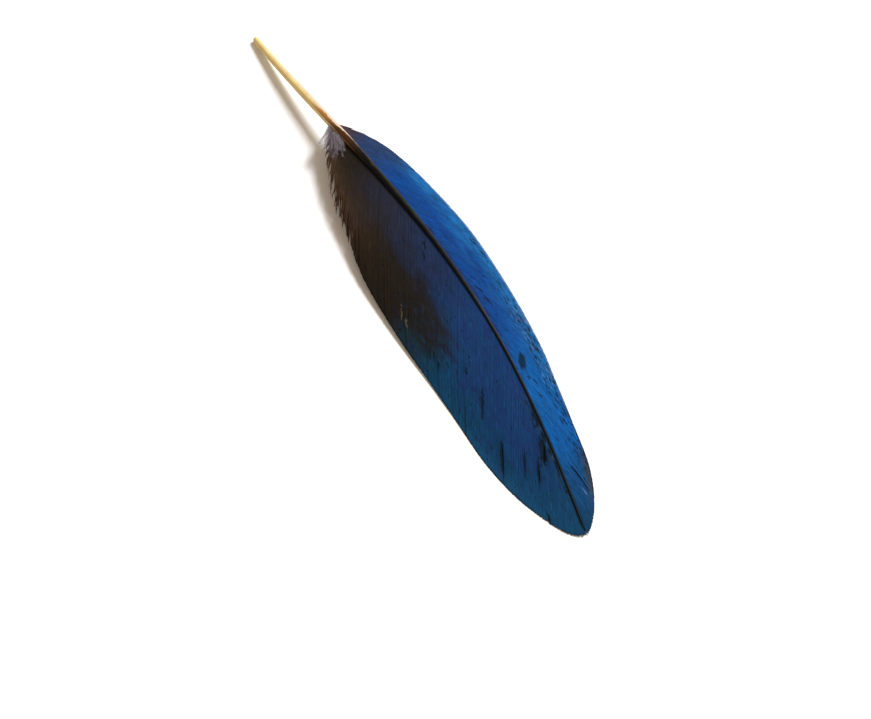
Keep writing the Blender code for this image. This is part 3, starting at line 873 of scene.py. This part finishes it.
def inner_upper():
    """Indigo to navy beside the rachis, brown at the base's margin and teal towards the tip."""
    s = VaneShading("inner_vane_blue")
    patches, tint = s.grain(5.9, (8.0, 6.0), 3.0), s.grain(9.4, (2.4, 1.9))
    fine, moss = s.grain(2.2, (0.5, 0.7)), s.grain(3.1, (1.3, 0.9))

    by_rachis = s.ramp(s.along, (0.32, SOOT), (0.43, INDIGO), (0.55, MIDNIGHT), (0.68, NAVY),
                       (0.84, NAVY), (1.0, TEAL))
    by_margin = s.ramp(s.along, (0.30, UMBER), (0.58, SOOT), (0.64, LAGOON), (0.72, TEAL),
                       (1.0, TEAL))
    turning = s.ragged(s.share, patches, 0.11, 0.25)
    turning = s.plus(turning, s.times(s.within(s.along, 0.46, 0.62, 0.06), 0.14))
    turning = s.minus(turning, s.fade(s.along, 0.65, 0.76, 0.0, 0.20))
    colour = s.mix(s.fade(turning, 0.20, 0.85), by_rachis, by_margin)

    # The brown patch that ends in the blue, and the soft brown of the fringe
    ragged_end, ragged_side = s.ragged(s.along, patches, 0.02), s.ragged(s.share, patches, 0.05)
    colour = s.paint(colour, SOOT, s.within(ragged_side, 0.50, 0.83, 0.08),
                     s.within(ragged_end, 0.54, 0.69, 0.02), 0.8)
    colour = s.paint(colour, BARK, s.fade(ragged_side, 0.45, 0.95),
                     s.fade(s.along, 0.36, 0.50, 0.7, 0.0))

    in_blue = s.fade(s.along, 0.50, 0.70)
    colour = s.paint(colour, TEAL, s.fade(tint, 0.50, 0.75, 0.0, 0.40), in_blue)
    colour = s.paint(colour, VIOLET, s.fade(tint, 0.28, 0.48, 0.40, 0.0), in_blue)
    colour = s.paint(colour, SOOT, s.fade(s.share, 0.965, 1.0),
                     s.fade(s.along, 0.55, 0.70, 0.8, 0.2))
    downy = s.ragged(s.start, fine, 1.0, 0.3)
    colour = s.paint(colour, DOVE, s.fade(downy, 36.2, 38.4, 1.0, 0.0),
                     s.fade(s.run, 4.0, 7.5, 1.0, 0.0))
    # Painted highlights on folded barbs, in pale fawn
    for fold_highlight in FOLD_HIGHLIGHTS:
        colour = s.paint(colour, FAWN, s.blot(s.spot, fold_highlight, fine), 0.8)
    roots = s.times(s.fade(s.run, 2.0, 4.2, 1.0, 0.0), s.within(s.along, 0.80, 0.95, 0.015))
    colour = s.paint(colour, MOSS, s.fade(moss, 0.45, 0.60, 0.0, 0.75), roots)

    wear = s.most(
        s.times(s.dashes(0.53, (1.7, 1.2)), roots),
        s.times(s.dashes(0.69, (0.7, 1.1)), s.within(s.along, 0.45, 0.97, 0.04)),
        s.blot(s.spot, EDGE_MARK, fine),
        s.worn_spots(INNER, fine),
        # Dark beside the rachis towards the tip: painted shade in the crease along the rachis,
        # counted with the wear
        s.times(s.fade(s.apart, 0.30, 0.62, 1.0, 0.0), s.fade(s.along, 0.66, 0.78),
                s.fade(s.along, 0.985, 1.0, 1.0, 0.0)))
    return s.finish_upper(colour, wear)


def underside(name, margin, reach):
    """Brick red out to reach, a share of the vane's width, then the margin's colour, and painted
    shade at the very margin.
    """
    s = VaneShading(name)
    fine, patches = s.streaks()
    red = s.ramp(s.along, (0.28, DUSK), (0.42, BRICK), (0.90, BRICK), (1.0, DUSK))
    turning = s.ragged(s.share, patches, 0.12, 0.25)
    colour = s.mix(s.fade(turning, reach - 0.25, reach + 0.25), red, margin)
    colour = s.paint(colour, DUSK, s.fade(s.ridge, 0.0, 1.0, 0.35, 0.0))
    colour = s.paint(colour, SOOT, s.fade(fine, 0.3, 0.7, 0.25, 0.0))
    # Painted shade: dark at the very margin, where the underside is in fact brick
    colour = s.paint(colour, SOOT, s.fade(s.share, 0.95, 0.985))
    s.let_through(share=0.10, colour=GLOW)
    return s.finish(colour, s.fade(patches, 0.3, 0.7, *SILKY), specular=0.3, sheen=0.1)


def horn():
    """Ivory quill. Where the vanes start it is brown, with a golden inner edge and a painted pale
    highlight on its outer edge; then near black, with a painted sheen and, by the outer vane,
    painted shade; tan below.
    """
    s = Shading("horn")
    along, up, towards = s.reading("place")   # towards the outer vane, from -1 to 1
    middle = s.ramp(along, (0.0, IVORY), (0.18, IVORY), (0.225, HONEY), (0.268, CHESTNUT),
                    (0.34, JET), (0.70, JET), (0.84, INK))
    inner_edge = s.ramp(along, (0.0, IVORY), (0.24, IVORY), (0.285, HONEY), (0.325, OLIVE),
                        (0.37, JET), (0.84, INK))
    # The outer edge's colours are a painted highlight: pale pink, then plum, olive and grey sheen
    outer_edge_painted_highlight = s.ramp(along, (0.0, IVORY), (0.23, BLUSH), (0.275, BLUSH), (0.32, PLUM),
                        (0.38, OLIVE), (0.46, OLIVE), (0.56, SHEEN_GREY), (0.84, INK))
    above = s.mix(s.fade(towards, -0.86, -0.62, 1.0, 0.0), middle, inner_edge)
    # How far towards the outer vane the painted highlight of the outer edge starts
    highlight_start = s.minus(s.fade(along, 0.255, 0.295, 0.05, 0.60), s.fade(along, 0.30, 0.38, 0.0, 0.58))
    highlight_start = s.ragged(highlight_start, s.noise((along, up, towards), (0.013, 0.8, 0.8)), 0.16)
    above = s.mix(s.fade(s.minus(towards, highlight_start), -0.11, 0.11), above, outer_edge_painted_highlight)
    # Painted shade: dark indigo on the rachis's side next to the outer vane, in the crease where
    # the vane starts
    above = s.paint(above, INDIGO, s.fade(towards, 0.62, 0.84), s.fade(along, 0.34, 0.42))
    below = s.ramp(along, (0.0, IVORY), (0.25, IVORY), (0.40, HORN), (1.0, HORN))
    colour = s.mix(s.fade(up, -0.45, -0.05), below, above)

    grain = s.noise((along, up, towards), (0.05, 0.12, 0.12), 4.0)
    rings = s.noise((along, 0.0, 0.0), (0.02,), 3.0)
    colour = s.paint(colour, HONEY, s.fade(grain, 0.35, 0.75, 0.0, 0.25), blend="MULTIPLY")
    colour = s.paint(colour, HONEY, s.fade(rings, 0.40, 0.70, 0.0, 0.16),
                     s.fade(along, 0.20, 0.26, 1.0, 0.0), blend="MULTIPLY")
    colour = s.paint(colour, CHESTNUT, s.fade(along, -0.1, -0.01, 1.0, 0.0))   # inside the hole
    relief = s.noise((along, up, towards), (0.2, 0.05, 0.05))
    s.bump(relief, strength=0.35, distance=0.04 * MM)
    s.let_through(share=0.25, colour=colour)
    return s.finish(colour, s.fade(grain, 0.3, 0.7, 0.32, 0.46), specular=0.16)


def fluff():
    """Pale lavender-grey down, greyer towards its ends."""
    s = Shading("fluff")
    run, fringe, chance = s.reading("place")
    colour = s.mix(s.fade(run, 0.0, 7.0, 0.0, 0.7), FLUFF, ASH)
    colour = s.paint(colour, DUSK, chance, 0.35)
    s.let_through(share=0.25, colour=FLUFF)
    return s.finish(colour, s.fade(fringe, 0.0, 1.0, 0.5, 0.7), specular=0.3)


# ------------ floor, lights and camera

CAMERA_PLACE = Vector((0.126822, -0.066183, 0.203516))
CAMERA_TARGET = Vector((0.024573, -0.008291, 0.0))
LENS_MM, SENSOR_MM = 50.0, 36.0
NEAREST_SEEN = 0.01
FLOOR_SIZE = 6.0
KEY_PLACE = Vector((-0.115, 0.64, 0.60))
KEY_SIZE, KEY_WATTS = 0.34, 12.5
KEY_COLOUR = (0.94, 0.97, 1.0)
FILL_COLOUR = (1.0, 0.83, 0.64, 1.0)
FILL_STRENGTH = 0.44


def aimed(name, data, place, target):
    """A lamp or camera that stands at place and points at target."""
    item = bpy.data.objects.new(name, data)
    bpy.context.scene.collection.objects.link(item)
    item.location = place
    item.rotation_euler = (target - place).to_track_quat("-Z", "Y").to_euler()
    return item


def make_floor():
    bpy.ops.mesh.primitive_plane_add(size=FLOOR_SIZE)
    floor = bpy.context.object
    floor.name = "floor"
    paper = Shading("paper")
    grain = paper.node("ShaderNodeTexNoise").outputs[0]
    colour = paper.mix(grain, *PAPER)
    floor.data.materials.append(paper.finish(colour, roughness=0.9, specular=0.1))


def make_lights():
    key = bpy.data.lights.new("key", "AREA")
    key.shape = "DISK"
    key.size = KEY_SIZE
    key.energy = KEY_WATTS
    key.color = KEY_COLOUR
    aimed("key", key, KEY_PLACE, CAMERA_TARGET)
    world = bpy.data.worlds.new("studio")
    world.use_nodes = True
    sky = world.node_tree.nodes["Background"]
    sky.inputs["Color"].default_value = FILL_COLOUR
    sky.inputs["Strength"].default_value = FILL_STRENGTH
    bpy.context.scene.world = world


def make_camera():
    camera = bpy.data.cameras.new("camera")
    camera.lens = LENS_MM
    camera.sensor_width = SENSOR_MM
    camera.clip_start = NEAREST_SEEN
    bpy.context.scene.camera = aimed("camera", camera, CAMERA_PLACE, CAMERA_TARGET)


make_camera()
make_floor()
make_lights()
bpy.context.scene.view_settings.view_transform = "Standard"
make_shaft(horn(), seed=5)
make_vane("outer_vane", OUTER, [outer_upper(), underside("outer_vane_red", ASH, 0.45)], seed=1)
make_vane("inner_vane", INNER, [inner_upper(), underside("inner_vane_red", DUSK, 0.70)], seed=2)
make_down(fluff(), seed=11)
